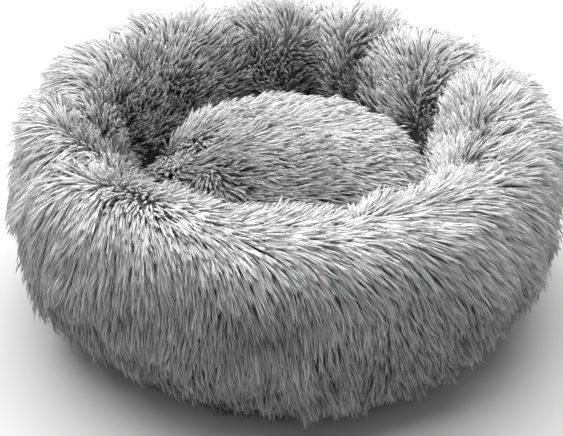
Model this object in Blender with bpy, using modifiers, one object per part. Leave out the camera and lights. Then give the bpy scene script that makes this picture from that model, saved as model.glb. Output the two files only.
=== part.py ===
"""Round pet bed: a stuffed fur rim with soft creases, a loose centre cushion in the nest, a padded
non-slip base and a short filling zip under the rear of the rim.

Metres, +Z up. The origin is the centre of the base's underside, and -Y is the front.
"""
import math

import bmesh
import bpy
from mathutils import Matrix, Vector

MM = 0.001

# Overall sizes
OUTER_DIAMETER = 500 * MM
OVERALL_HEIGHT = 200 * MM
RIM_WIDTH = 114 * MM            # from the nest's wall to the outside
CUSHION_TOP_HEIGHT = 165 * MM

# Gaps
TOUCH_GAP = 0.3 * MM            # between pieces that are sewn together or rest on each other
FILL_GAP = 0.6 * MM             # between the fill and the cover round it
CUSHION_CLEARANCE = 3 * MM      # round the loose cushion
RUNNING_GAP = 0.4 * MM          # round the zip slider

# Rim
FUR_THICKNESS = 22 * MM         # backing cloth and pile together
RIM_ROUNDNESS = 2.5             # exponent of the rim's section: 2 is an ellipse
RIM_SINK = 14 * MM              # how far the round section is flattened at the base
RIM_LEAN = 46 * MM              # how sharply the section curves in towards its foot
RIM_MOUTH_WIDTH = 48 * MM       # opening of the cover along the base, under the fill
RIM_LEG_HEIGHT = 40 * MM        # height over which the cover's cavity narrows to that mouth
RIM_STEPS = 48
CREASE_ANGLES = (28, 60, 83, 105, 181, 209, 285, 329)   # degrees from +X
CREASE_DEPTHS = (0.09, 0.06, 0.07, 0.10, 0.09, 0.07, 0.03, 0.05)   # share of the section
CREASE_HALF_WIDTH = math.radians(11)
CREASE_START_HEIGHT = 60 * MM   # a crease fades out below this

# Base
BASE_THICKNESS = 6 * MM
BASE_EDGE_MARGIN = 4.6 * MM     # from the base panel's edge to the rim's lowest outer edge
BINDING_DIAMETER = 5.2 * MM
FLOOR_THICKNESS = 2 * MM        # lining panel under the cushion
FLOOR_EDGE_MARGIN = 3.4 * MM    # from the lining's edge to the rim's lowest inner edge

# Cushion
CUSHION_SEAM_HEIGHT = 95 * MM
CUSHION_TOP_ROUNDNESS = 2.6
CUSHION_BOTTOM_ROUNDNESS = 3.0
CUSHION_FUR_THICKNESS = 20 * MM
CUSHION_CLOTH_THICKNESS = 2 * MM
CUSHION_STEPS = 36

# Zip
ZIP_LENGTH = 150 * MM
ZIP_OFFSET = 10 * MM            # from the middle of the rim's foot towards the nest
ZIP_TAPE_WIDTH = 10 * MM
ZIP_TAPE_THICKNESS = 0.6 * MM
ZIP_TAPE_OVERHANG = 5 * MM      # of each tape past the end of the opening
ZIP_SLOT_WIDTH = 11 * MM
COIL_WIDTH = 2.2 * MM
COIL_HEIGHT = 1.8 * MM
COIL_SPLIT = 1.8 * MM           # space between the two strands for the slider's post
STOP_LENGTH = 3 * MM
SLIDER_LENGTH = 9 * MM
SLIDER_WIDTH = 8.4 * MM
SLIDER_PLATE = 1.0 * MM
SLIDER_POST_LENGTH = 3.4 * MM
SLIDER_END_ROOM = 12 * MM       # from the slider's centre to the end of the opening
PULL_LENGTH = 14 * MM
PULL_WIDTH = 5 * MM
PULL_THICKNESS = 0.9 * MM
PULL_PIN_RADIUS = 0.5 * MM
PULL_EYE_CLEARANCE = 0.25 * MM
PULL_EYE_WALL = 0.45 * MM
PULL_EYE_WIDTH = 3 * MM
LUG_THICKNESS = 0.8 * MM
EDGE_BEVEL = 0.2 * MM

# Worked out from the sizes above
OUTER_RADIUS = OUTER_DIAMETER / 2
RIM_HALF_WIDTH = RIM_WIDTH / 2
RIM_CENTRE_RADIUS = OUTER_RADIUS - RIM_HALF_WIDTH
RIM_BOTTOM = BASE_THICKNESS + TOUCH_GAP
RIM_HALF_HEIGHT = (OVERALL_HEIGHT - RIM_BOTTOM + RIM_SINK) / 2
RIM_CENTRE_HEIGHT = OVERALL_HEIGHT - RIM_HALF_HEIGHT
CUSHION_RADIUS = OUTER_RADIUS - RIM_WIDTH - CUSHION_CLEARANCE
FLOOR_TOP = BASE_THICKNESS + TOUCH_GAP + FLOOR_THICKNESS
CUSHION_BOTTOM = FLOOR_TOP + TOUCH_GAP
FOOT_DROP = (RIM_CENTRE_HEIGHT - RIM_BOTTOM) / RIM_HALF_HEIGHT
FOOT_REACH = RIM_HALF_WIDTH * (1 - FOOT_DROP ** RIM_ROUNDNESS) ** (1 / RIM_ROUNDNESS)
FOOT_CENTRE_RADIUS = RIM_CENTRE_RADIUS - RIM_LEAN * FOOT_DROP ** 2
ZIP_CENTRE_Y = FOOT_CENTRE_RADIUS - ZIP_OFFSET
TAPE_BOTTOM = BASE_THICKNESS + TOUCH_GAP
TAPE_TOP = TAPE_BOTTOM + ZIP_TAPE_THICKNESS
COIL_TOP = TAPE_BOTTOM - TOUCH_GAP
COIL_BOTTOM = COIL_TOP - COIL_HEIGHT
SLIDER_TOP = TAPE_TOP + RUNNING_GAP + SLIDER_PLATE
SLIDER_X = ZIP_LENGTH / 2 - SLIDER_END_ROOM
LOWER_PLATE_TOP = COIL_BOTTOM - RUNNING_GAP
LOWER_PLATE_BOTTOM = LOWER_PLATE_TOP - SLIDER_PLATE
PULL_EYE_RADIUS = PULL_PIN_RADIUS + PULL_EYE_CLEARANCE + PULL_EYE_WALL
PULL_PIN_HEIGHT = LOWER_PLATE_BOTTOM - TOUCH_GAP - PULL_EYE_RADIUS
FILL_BOTTOM = SLIDER_TOP + 3 * TOUCH_GAP

MATERIALS = {
    "grey_fur": ((0.48, 0.48, 0.48), 0.95, 0.0),
    "fibre_fill": ((0.86, 0.86, 0.84), 1.0, 0.0),
    "lining_cloth": ((0.40, 0.40, 0.41), 0.9, 0.0),
    "base_cloth": ((0.10, 0.10, 0.11), 0.8, 0.0),
    "binding_cloth": ((0.16, 0.16, 0.17), 0.85, 0.0),
    "zip_tape_cloth": ((0.12, 0.12, 0.13), 0.85, 0.0),
    "zip_nylon": ((0.07, 0.07, 0.08), 0.45, 0.0),
    "zip_metal": ((0.55, 0.55, 0.56), 0.35, 1.0),
}


def new_collection(name):
    collection = bpy.data.collections.new(name)
    bpy.context.scene.collection.children.link(collection)
    return collection


def material(name):
    existing = bpy.data.materials.get(name)
    if existing:
        return existing
    colour, roughness, metallic = MATERIALS[name]
    made = bpy.data.materials.new(name)
    made.use_nodes = True
    shader = made.node_tree.nodes["Principled BSDF"]
    shader.inputs["Base Color"].default_value = (*colour, 1)
    shader.inputs["Roughness"].default_value = roughness
    shader.inputs["Metallic"].default_value = metallic
    made.diffuse_color = (*colour, 1)
    return made


def add_object(collection, name, mesh, material_name):
    node = bpy.data.objects.new(name, mesh)
    collection.objects.link(node)
    if material_name:
        mesh.materials.append(material(material_name))
    return node


def power_curve(half_width, half_height, exponent, angle):
    """A point of a superellipse about its centre."""
    c, s = math.cos(angle), math.sin(angle)
    x = half_width * math.copysign(abs(c) ** (2 / exponent), c)
    z = half_height * math.copysign(abs(s) ** (2 / exponent), s)
    return x, z


def spread(first, last, count):
    return [first + (last - first) * i / (count - 1) for i in range(count)]


# ---------------------------------------------------------------- turned pieces

def turned(collection, name, profile, steps, material_name, closed):
    """Turn a profile of (radius, height) points about Z. An open profile starts and ends on Z."""
    mesh = bpy.data.meshes.new(name)
    edges = [(i, i + 1) for i in range(len(profile) - 1)]
    if closed:
        edges.append((len(profile) - 1, 0))
    mesh.from_pydata([(r, 0, z) for r, z in profile], edges, [])
    node = add_object(collection, name, mesh, material_name)
    screw = node.modifiers.new("turn", "SCREW")
    screw.steps = screw.render_steps = steps
    screw.use_merge_vertices = True
    screw.merge_threshold = 0.01 * MM
    screw.use_smooth_shade = True
    return node


def section_centre(height):
    """Radius of the middle of the rim's section, which leans in below its widest place."""
    drop = max(RIM_CENTRE_HEIGHT - height, 0) / RIM_HALF_HEIGHT
    return RIM_CENTRE_RADIUS - RIM_LEAN * drop ** 2


def rim_arch(inset, foot_reach, foot_height, count):
    """The rim's section, inset, from its outer foot over the crest to its inner foot."""
    half_width = RIM_HALF_WIDTH - inset
    half_height = RIM_HALF_HEIGHT - inset
    turn = math.asin(((RIM_CENTRE_HEIGHT - foot_height) / half_height) ** (RIM_ROUNDNESS / 2))
    points = []
    for angle in spread(-turn, math.pi + turn, count):
        x, z = power_curve(half_width, half_height, RIM_ROUNDNESS, angle)
        height = RIM_CENTRE_HEIGHT + z
        points.append((section_centre(height) + x, height))
    points[0] = (section_centre(foot_height) + foot_reach, foot_height)
    points[-1] = (section_centre(foot_height) - foot_reach, foot_height)
    return points


def toward_section_centre(point, distance):
    """The point, moved this far into the rim's section: level below its middle, else towards it."""
    place = Vector(point)
    way = Vector((section_centre(place.y), min(place.y, RIM_CENTRE_HEIGHT))) - place
    moved = place + way.normalized() * distance
    return moved.x, moved.y


def crease_share(angle):
    """How far the section is drawn in at this angle, as a share of its size."""
    share = 0
    for centre, depth in zip(CREASE_ANGLES, CREASE_DEPTHS):
        away = (angle - math.radians(centre) + math.pi) % (2 * math.pi) - math.pi
        share = max(share, depth * math.exp(-(away / CREASE_HALF_WIDTH) ** 2))
    return share


def on_outside(radius, height):
    """Whether a point of the rim's section lies on the outline and not in the cavity."""
    across = abs(radius - section_centre(height)) / RIM_HALF_WIDTH
    up = abs(height - RIM_CENTRE_HEIGHT) / RIM_HALF_HEIGHT
    return across ** RIM_ROUNDNESS + up ** RIM_ROUNDNESS > 0.9


def draw_in_creases(node):
    """Make the modifier's result the node's own mesh and draw its outside in at the creases."""
    graph = bpy.context.evaluated_depsgraph_get()
    mesh = bpy.data.meshes.new_from_object(node.evaluated_get(graph))
    for vertex in mesh.vertices:
        radius = math.hypot(vertex.co.x, vertex.co.y)
        if not on_outside(radius, vertex.co.z):
            continue
        angle = math.atan2(vertex.co.y, vertex.co.x)
        rise = min(max((vertex.co.z - RIM_BOTTOM) / CREASE_START_HEIGHT, 0), 1)
        keep = 1 - crease_share(angle) * rise * rise * (3 - 2 * rise)
        centre = section_centre(vertex.co.z)
        radius = centre + (radius - centre) * keep
        height = RIM_CENTRE_HEIGHT + (vertex.co.z - RIM_CENTRE_HEIGHT) * keep
        vertex.co = Vector((radius * math.cos(angle), radius * math.sin(angle), height))
    mesh.shade_smooth()
    node.modifiers.clear()
    node.data = mesh


def build_rim(collection):
    outer_points = 19
    inner_points = 11
    outer = rim_arch(0, FOOT_REACH, RIM_BOTTOM, outer_points)
    leg_top = RIM_BOTTOM + RIM_LEG_HEIGHT
    half_inner = RIM_HALF_WIDTH - FUR_THICKNESS
    drop = (RIM_CENTRE_HEIGHT - leg_top) / (RIM_HALF_HEIGHT - FUR_THICKNESS)
    leg_reach = half_inner * (1 - drop ** RIM_ROUNDNESS) ** (1 / RIM_ROUNDNESS)
    cavity = rim_arch(FUR_THICKNESS, leg_reach, leg_top, inner_points)
    mouth = RIM_MOUTH_WIDTH / 2
    mouth_ends = [(FOOT_CENTRE_RADIUS - mouth, RIM_BOTTOM), (FOOT_CENTRE_RADIUS + mouth, RIM_BOTTOM)]
    profile = outer + [mouth_ends[0]] + cavity[::-1] + [mouth_ends[1]]
    cover = turned(collection, "rim_cover", profile[::-1], RIM_STEPS, "grey_fur", closed=True)
    draw_in_creases(cover)

    arch = [toward_section_centre(point, FILL_GAP) for point in cavity]
    share = (FILL_BOTTOM - RIM_BOTTOM) / RIM_LEG_HEIGHT
    foot = mouth + (leg_reach - mouth) * share - FILL_GAP
    centre = FOOT_CENTRE_RADIUS + (section_centre(leg_top) - FOOT_CENTRE_RADIUS) * share
    feet = [(centre - foot, FILL_BOTTOM), (centre + foot, FILL_BOTTOM)]
    turned(collection, "rim_fill", (arch + feet)[::-1], RIM_STEPS, "fibre_fill", closed=True)


# ---------------------------------------------------------------- base

def box(name, size, centre):
    """A closed box as an object that is in no collection yet."""
    work = bmesh.new()
    bmesh.ops.create_cube(work, size=1)
    bmesh.ops.scale(work, vec=Vector(size), verts=work.verts)
    mesh = bpy.data.meshes.new(name)
    work.to_mesh(mesh)
    work.free()
    node = bpy.data.objects.new(name, mesh)
    node.location = centre
    return node


def add_box(collection, name, size, centre, material_name, bevel=EDGE_BEVEL):
    node = box(name, size, centre)
    collection.objects.link(node)
    node.data.materials.append(material(material_name))
    rounding = node.modifiers.new("rounding", "BEVEL")
    rounding.width = bevel
    rounding.segments = 2
    return node


def disc(collection, name, radius, low, high, steps, material_name):
    profile = [(0, high), (radius, high), (radius, low), (0, low)]
    node = turned(collection, name, profile, steps, material_name, closed=False)
    node.modifiers["turn"].use_smooth_shade = False
    return node


def build_base(parts, cutters):
    radius = FOOT_CENTRE_RADIUS + FOOT_REACH - BASE_EDGE_MARGIN
    panel = disc(parts, "base_panel", radius, 0, BASE_THICKNESS, RIM_STEPS, "base_cloth")
    slot = box("zip_slot_cutter", (ZIP_LENGTH, ZIP_SLOT_WIDTH, 4 * BASE_THICKNESS),
               (0, ZIP_CENTRE_Y, BASE_THICKNESS / 2))
    cutters.objects.link(slot)
    slot.hide_render = True
    slot.display_type = "WIRE"
    cut = panel.modifiers.new("zip_slot", "BOOLEAN")
    cut.operation = "DIFFERENCE"
    cut.object = slot

    bound = BINDING_DIAMETER / 2
    centre_radius = radius + TOUCH_GAP + bound
    sides = 8
    ring = []
    for i in range(sides):
        angle = -2 * math.pi * (i + 0.5) / sides
        ring.append((centre_radius + bound * math.cos(angle),
                     BASE_THICKNESS / 2 + bound * math.sin(angle)))
    turned(parts, "base_binding", ring, RIM_STEPS, "binding_cloth", closed=True)

    floor_radius = FOOT_CENTRE_RADIUS - FOOT_REACH - FLOOR_EDGE_MARGIN
    disc(parts, "nest_floor", floor_radius, FLOOR_TOP - FLOOR_THICKNESS, FLOOR_TOP,
         CUSHION_STEPS, "lining_cloth")


# ---------------------------------------------------------------- loose cushion

def cushion_dome(inset, height, count):
    """From the seam's edge up to the top's centre, as an outline inset from the cushion's."""
    half_width = CUSHION_RADIUS - inset
    half_height = CUSHION_TOP_HEIGHT - CUSHION_SEAM_HEIGHT - inset
    points = []
    for angle in spread(0, math.pi / 2, count):
        x, z = power_curve(half_width, half_height, CUSHION_TOP_ROUNDNESS, angle)
        points.append((x, height + z * (CUSHION_TOP_HEIGHT - inset - height) / half_height))
    points[-1] = (0, CUSHION_TOP_HEIGHT - inset)
    return points


def cushion_bowl(inset, height, count):
    """From the bottom's centre out to the edge below the seam."""
    half_width = CUSHION_RADIUS - inset
    depth = height - CUSHION_BOTTOM - inset
    points = []
    for angle in spread(-math.pi / 2, 0, count):
        x, z = power_curve(half_width, depth, CUSHION_BOTTOM_ROUNDNESS, angle)
        points.append((x, height + z))
    points[0] = (0, CUSHION_BOTTOM + inset)
    return points


def build_cushion(collection):
    seam = CUSHION_SEAM_HEIGHT
    outer_points = 10
    inner_points = 7
    outside = cushion_dome(0, seam, outer_points)
    inside = cushion_dome(CUSHION_FUR_THICKNESS, seam, inner_points)
    turned(collection, "cushion_top_cover", (inside[::-1] + outside)[::-1], CUSHION_STEPS,
           "grey_fur", closed=False)

    edge = seam - TOUCH_GAP
    dish = cushion_bowl(0, edge, outer_points)
    hollow = cushion_bowl(CUSHION_CLOTH_THICKNESS, edge, inner_points)
    turned(collection, "cushion_bottom_cover", (dish + hollow[::-1])[::-1], CUSHION_STEPS,
           "lining_cloth", closed=False)

    low = cushion_bowl(CUSHION_CLOTH_THICKNESS + TOUCH_GAP, edge, inner_points)
    high = cushion_dome(CUSHION_FUR_THICKNESS + TOUCH_GAP, edge, inner_points)
    turned(collection, "cushion_fill", (low + high)[::-1], CUSHION_STEPS, "fibre_fill",
           closed=False)


# ---------------------------------------------------------------- filling zip

def build_zip_chain(collection):
    tape_length = ZIP_LENGTH + 2 * ZIP_TAPE_OVERHANG
    tape_inner = COIL_SPLIT / 2 + EDGE_BEVEL
    for side, label in ((-1, "front"), (1, "rear")):
        tape_y = ZIP_CENTRE_Y + side * (tape_inner + ZIP_TAPE_WIDTH / 2)
        add_box(collection, "zip_tape_" + label, (tape_length, ZIP_TAPE_WIDTH, ZIP_TAPE_THICKNESS),
                (0, tape_y, TAPE_BOTTOM + ZIP_TAPE_THICKNESS / 2), "zip_tape_cloth", 0.1 * MM)
        coil_y = ZIP_CENTRE_Y + side * (COIL_SPLIT + COIL_WIDTH) / 2
        coil_length = ZIP_LENGTH - 2 * (STOP_LENGTH + 2 * TOUCH_GAP)
        add_box(collection, "zip_coil_" + label, (coil_length, COIL_WIDTH, COIL_HEIGHT),
                (0, coil_y, COIL_BOTTOM + COIL_HEIGHT / 2), "zip_nylon", 0.5 * MM)
    stop_width = COIL_SPLIT + 2 * COIL_WIDTH
    for side, label in ((-1, "open_end"), (1, "closed_end")):
        stop_x = side * (ZIP_LENGTH / 2 - TOUCH_GAP - STOP_LENGTH / 2)
        add_box(collection, "zip_stop_" + label, (STOP_LENGTH, stop_width, COIL_HEIGHT),
                (stop_x, ZIP_CENTRE_Y, COIL_BOTTOM + COIL_HEIGHT / 2), "zip_metal")


def cylinder_along_y(work, radius, length, sides):
    """Add a closed cylinder about the Y axis to a bmesh."""
    bmesh.ops.create_cone(work, cap_ends=True, segments=sides, radius1=radius, radius2=radius,
                          depth=length, matrix=Matrix.Rotation(math.pi / 2, 4, "X"))


def combine(node, helper, cutters, operation):
    """Join a helper to the node or cut it away; the helper stays as a hidden cutter."""
    cutters.objects.link(helper)
    helper.parent = node.parent
    helper.hide_render = True
    helper.display_type = "WIRE"
    step = node.modifiers.new(helper.name, "BOOLEAN")
    step.operation = operation
    step.object = helper


def mesh_object(name, work):
    mesh = bpy.data.meshes.new(name)
    bmesh.ops.recalc_face_normals(work, faces=work.faces)
    work.to_mesh(mesh)
    work.free()
    return bpy.data.objects.new(name, mesh)


def build_slider(parts, cutters, pivot):
    plate = (SLIDER_LENGTH, SLIDER_WIDTH, SLIDER_PLATE)
    lower_z = LOWER_PLATE_TOP - SLIDER_PLATE / 2 - PULL_PIN_HEIGHT
    upper_z = SLIDER_TOP - SLIDER_PLATE / 2 - PULL_PIN_HEIGHT
    slider = box("zip_slider", plate, (0, 0, lower_z))
    parts.objects.link(slider)
    slider.parent = pivot
    slider.data.materials.append(material("zip_metal"))

    bite = SLIDER_PLATE / 2     # how far joined shapes reach into each other
    post_height = upper_z - lower_z - SLIDER_PLATE + 2 * bite
    upper = box("slider_upper_plate", plate, (0, 0, upper_z))
    post = box("slider_post", (SLIDER_POST_LENGTH, COIL_SPLIT - 2 * RUNNING_GAP, post_height),
               (0, 0, (upper_z + lower_z) / 2))
    lug_y = PULL_EYE_WIDTH / 2 + TOUCH_GAP + LUG_THICKNESS / 2
    lug_top = PULL_EYE_RADIUS + TOUCH_GAP + bite
    lug_bottom = -1.6 * PULL_PIN_RADIUS
    lugs = [box("slider_lug_" + label, (2 * PULL_EYE_RADIUS, LUG_THICKNESS, lug_top - lug_bottom),
                (0, side * lug_y, (lug_top + lug_bottom) / 2))
            for side, label in ((-1, "front"), (1, "rear"))]
    pin_work = bmesh.new()
    cylinder_along_y(pin_work, PULL_PIN_RADIUS, 2 * lug_y, 12)
    for helper in (upper, post, *lugs, mesh_object("slider_pin", pin_work)):
        combine(slider, helper, cutters, "UNION")


def build_pull(parts, cutters, pivot):
    tab_room = PULL_PIN_RADIUS + PULL_EYE_CLEARANCE + PULL_EYE_WALL / 2
    tab_length = PULL_LENGTH - tab_room
    pull = box("zip_pull", (tab_length, PULL_WIDTH, PULL_THICKNESS),
               (-tab_room - tab_length / 2, 0, 0))
    parts.objects.link(pull)
    pull.parent = pivot
    pull.data.materials.append(material("zip_metal"))

    neck_trim = (6 * PULL_EYE_RADIUS, (PULL_WIDTH - PULL_EYE_WIDTH) / 2, 4 * PULL_THICKNESS)
    for side, label in ((-1, "front"), (1, "rear")):
        trim = box("pull_neck_trim_" + label, neck_trim,
                   (0, side * (PULL_EYE_WIDTH + neck_trim[1]) / 2, 0))
        combine(pull, trim, cutters, "DIFFERENCE")
    eye_work = bmesh.new()
    cylinder_along_y(eye_work, PULL_EYE_RADIUS, PULL_EYE_WIDTH, 16)
    combine(pull, mesh_object("pull_eye", eye_work), cutters, "UNION")
    hole_work = bmesh.new()
    cylinder_along_y(hole_work, PULL_PIN_RADIUS + PULL_EYE_CLEARANCE, 2 * PULL_WIDTH, 16)
    combine(pull, mesh_object("pull_eye_hole", hole_work), cutters, "DIFFERENCE")
    grip_work = bmesh.new()
    bmesh.ops.create_cone(grip_work, cap_ends=True, segments=20, radius1=PULL_WIDTH / 4,
                          radius2=PULL_WIDTH / 4, depth=4 * PULL_THICKNESS)
    grip = mesh_object("pull_grip_hole", grip_work)
    grip.location = (-PULL_LENGTH + PULL_WIDTH / 2, 0, 0)
    combine(pull, grip, cutters, "DIFFERENCE")


def build_slider_and_pull(parts, cutters):
    """Both hang on an empty that lies on the pull's hinge axis; the slider slides along X."""
    pivot = bpy.data.objects.new("zip_slider_pivot", None)
    pivot.location = (SLIDER_X, ZIP_CENTRE_Y, PULL_PIN_HEIGHT)
    parts.objects.link(pivot)
    build_slider(parts, cutters, pivot)
    build_pull(parts, cutters, pivot)


def main():
    for old in list(bpy.data.objects):
        bpy.data.objects.remove(old)
    parts = new_collection("pet_bed")
    cutters = new_collection("cutters")
    build_rim(parts)
    build_base(parts, cutters)
    build_cushion(parts)
    build_zip_chain(parts)
    build_slider_and_pull(parts, cutters)


main()
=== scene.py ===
"""Looks of the round pet bed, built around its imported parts.

The rim and the cushion are cloth skins with fur on them: every strand is a small closed mesh,
rooted in the skin and combed the way the pile lies. Metres, +Z up, the front at -Y.
"""

import math

import bmesh
import bpy
import numpy as np
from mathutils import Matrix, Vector


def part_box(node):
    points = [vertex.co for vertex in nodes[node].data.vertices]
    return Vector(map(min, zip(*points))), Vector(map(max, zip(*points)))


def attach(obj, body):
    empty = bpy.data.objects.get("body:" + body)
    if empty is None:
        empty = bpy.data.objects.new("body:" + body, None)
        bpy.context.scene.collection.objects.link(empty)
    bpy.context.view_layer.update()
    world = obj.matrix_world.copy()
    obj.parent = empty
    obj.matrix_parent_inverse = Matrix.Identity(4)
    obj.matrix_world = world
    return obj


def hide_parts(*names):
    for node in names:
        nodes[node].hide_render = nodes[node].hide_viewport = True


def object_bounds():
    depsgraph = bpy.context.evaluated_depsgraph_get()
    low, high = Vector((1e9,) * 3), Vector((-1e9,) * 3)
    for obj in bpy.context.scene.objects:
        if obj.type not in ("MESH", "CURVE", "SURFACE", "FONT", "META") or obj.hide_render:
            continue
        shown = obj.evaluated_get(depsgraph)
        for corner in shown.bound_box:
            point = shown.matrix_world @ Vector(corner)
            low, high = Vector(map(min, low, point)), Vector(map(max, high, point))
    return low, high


MM = 0.001
TAU = 2 * math.pi

# Camera: angle and lens of the product view
CAMERA_ELEVATION = math.radians(32.9)
CAMERA_DISTANCE = 1333 * MM
CAMERA_LENS = 92.9
CAMERA_AIM = (-5 * MM, -22 * MM)  # right of and above the bed's middle

# Light and floor
WORLD_STRENGTH = 0.46
AREA_LIGHTS = (  # name, watts, side, place, aim
    ("key", 10, 1.6, (-0.8, 1.0, 1.4), (0, 0, 0.12)),
    ("top", 132, 3.0, (-0.2, 0.5, 2.2), (0, 0, 0.1)),
)
FLOOR_HALF_SIDE = 6
FLOOR_DROP = 1 * MM  # keeps the floor's face clear of the grip dots
FLOOR_GREY = 0.52

# Rim skin
RIM_COLUMNS = 192
RIM_ROWS = 84
RIM_ROUNDNESS = 2.5
RIM_SINK = 14 * MM  # how much is cut off the section's foot
RIM_FOOT_GAP = 0.3 * MM  # between the skin and the base panel
RIM_RIPPLE = 1.8 * MM
RIM_RIPPLE_SIZE = 90 * MM
RIM_PUFF = 6 * MM  # how far the cloth solver may move the rim's skin
RIM_FIBRE_GAP = 2 * MM
PILE_DEPTH = 14 * MM  # from the skin to the outside of the fur
BACKING_THICKNESS = 3 * MM
CREASE_FADE_HEIGHT = 90 * MM  # above the foot, where the creases are full
CREASE_SHARE_OUTSIDE = 0.18  # of their depth that is left on the rim's outside
CREASE_SOFT_EDGE = 1.0  # degrees, rounds the bottom of each crease
DEEP_CREASE = 25  # mm; from here a crease turns the pile fully
LOBE_BULGE = 4 * MM  # how far the lobes swell between the creases
REAR_LEFT = (128, 60)  # degrees: middle and half-width of the raised stretch
REAR_RIGHT = (36, 50)  # and of the lowered one
REAR_RISE = 6 * MM
# angle (degrees from +X), depth (mm), angular half-width (degrees), slant of the crease line
CREASES = (
    (26, 24, 6.0, 4),
    (58, 22, 5.0, -6),
    (81, 22, 5.5, 3),
    (108, 28, 7.0, 4),
    (181, 30, 5.5, -20),
    (209, 26, 5.5, -10),
    (284, 7, 8.0, 2),
    (327, 10, 9.0, 6),
)

# Cloth solver
CLOTH_PRESSURE = 3.0
CLOTH_STIFFNESS = 12
CLOTH_BENDING = 0.5
CLOTH_QUALITY = 4
CLOTH_FRAMES = 16
RIM_HELD_HEIGHT = 30 * MM  # the skin is pinned at its foot and free from here up
RIM_HELD_CREASE = 20 * MM  # a crease as deep as this is pinned at its bottom
CUSHION_HELD_ROWS = 5  # pinned at the cushion's seam, less and less

# Fur
TUFT_SPACING = 3.0 * MM
TUFT_RADIUS = 0.85 * MM
STRANDS_PER_TUFT = 4
STRAND_WIDTHS = (0.32, 0.54)  # mm, smallest and largest radius
STRAND_TAPER = np.array([0.75, 1.0, 0.85])
STRAND_LENGTHS = (0.80, 1.08)  # of the tuft's length
STRAND_SWAY = 0.035  # of the strand's length, to the side
TUFT_LENGTHS = (0.82, 1.14)  # of the pile's length
TUFT_WAVE = 0.10  # of the tuft's length, to the side
ROOT_DEPTH = 1.2 * MM
STRAND_UV = "OFBake"
STRAND_UV_WIDTH = 3 / 512  # three pixels of a 512-pixel picture
STRAND_UV_LEVELS = (0.0, 0.36, 0.82)
ROOT_CAP_UV_LEVEL = 0.015  # lifts one corner, so that the root's face has an area
STRAND_SHADE_SPREAD = 0.12  # how much two neighbours may differ
RIM_FUR_SECTORS = 15
FRONT_PILE = (-92, 105)  # degrees: middle and half-width of the combed front
RIGHT_PILE = (-38, 52)  # the pile swept round to the right
PARTING_STRETCH = (-100, 110)  # the front's parting
# how the front's pile turns: place along the section, from 0 at the outer foot over 0.5 at the
# crest to 1 at the inner foot, and degrees from rightward to downward
FRONT_HEADINGS = ((0.0, 0.33, 0.38, 0.43, 0.50, 0.56, 0.60, 0.68),
                  (86, 84, 65, 38, 5, -30, -62, -78))
SWEEP_RIGHT = 0.62
SWEEP_IN_LOBES = 0.75
SWEEP_SWIRL = 0.28
SWEEP_SPREAD = 0.08
REAR_WILDNESS = 1.2  # the rear lobes' pile is less combed
OUTER_DROOP = 0.30
SWIRL_SIZE = 45 * MM
LIFT_HILL = 30 * MM
# lift is the sine of the angle between the strands and the skin
RIM_LIFT = 0.37
LIFT_ON_TOP = 0.12
LIFT_IN_NEST = 0.40
LIFT_OUTSIDE = -0.12
LIFT_AT_PARTING = -0.04
LIFT_HILLS = 0.10
LIFT_SPREAD = 0.07
RIM_LIFT_RANGE = (0.18, 0.95)
RIM_LENGTH = 26  # mm, of the strands on the crest
LONGER_OUTSIDE = 6
SHORTER_IN_NEST = 5
LENGTH_SWIRL = 2.0
SHORTER_AT_PARTING = 0.18  # of the length
BURIED_HEIGHT = 118 * MM  # below this the cushion hides the nest's wall
BURIED_SHARE = 0.12  # how many of the tufts grow there
WALL_CLEARANCE = 0.5 * MM  # between the rim's pile and the cushion's side
NEST_OVERHANG = 13 * MM  # how far the pile hangs over the cushion's shoulder
OVERHANG_FULL = 0.55  # of the dome's height, where that overhang is reached
CREST_PILE = 12 * MM  # how far the pile stands above the crest
BASE_CLEARANCE = 1.2 * MM  # between the pile and the base panel with its binding
FLOOR_CLEARANCE = 1 * MM  # between the pile and the floor
WALL_SHARE = 0.73  # how many of the tufts the rim has away from its parting
PARTING_PLACE = 0.46  # of the front's pile, along the section
PARTING_WIDTH = 0.07
NOISE_WAVES = 14

# Cushion
CUSHION_ROWS = 40
CUSHION_COLUMNS = 120
CUSHION_TOP_ROUNDNESS = 2.6
CUSHION_BOTTOM_ROUNDNESS = 3.0
CUSHION_MIDDLE = 3 * MM  # radius of the cap in the middle
CUSHION_RIPPLE = 2.5 * MM
CUSHION_RIPPLE_SIZE = 110 * MM
CUSHION_RIPPLE_RISE = 40 * MM  # above the seam, where the ripple is full
CUSHION_PUFF = 8 * MM  # how far the cloth solver may move the cushion's skin
CUSHION_FUR_SECTORS = 3
CUSHION_SHARE = 0.8  # how many of the tufts the cushion has
CUSHION_PILE_LENGTH = 24.5 * MM
CUSHION_LIFT = 0.40
CUSHION_LIFT_AT_EDGE = 0.25
CUSHION_LIFT_HILLS = 0.10
CUSHION_LIFT_SPREAD = 0.08
CUSHION_LIFT_RANGE = (0.22, 0.9)
CUSHION_PILE_OVERHANG = 0.5 * MM
FRINGE_SLOPE = 1.2  # how fast the pile stands out towards the seam
CUSHION_FRINGE = (2, 20)  # mm, how far below its seam a strand may hang
UNDER_ROWS = 60
UNDER_COLUMNS = 4 * CUSHION_COLUMNS
UNDER_THICKNESS = 0.9 * MM
UNDER_SEAM_GAP = 0.3 * MM
UNDER_FIBRE_GAP = 3.5 * MM
GATHERS = 64
GATHER_DEPTH = 1.4 * MM
CRUMPLE_DEPTH = 0.8 * MM

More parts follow.
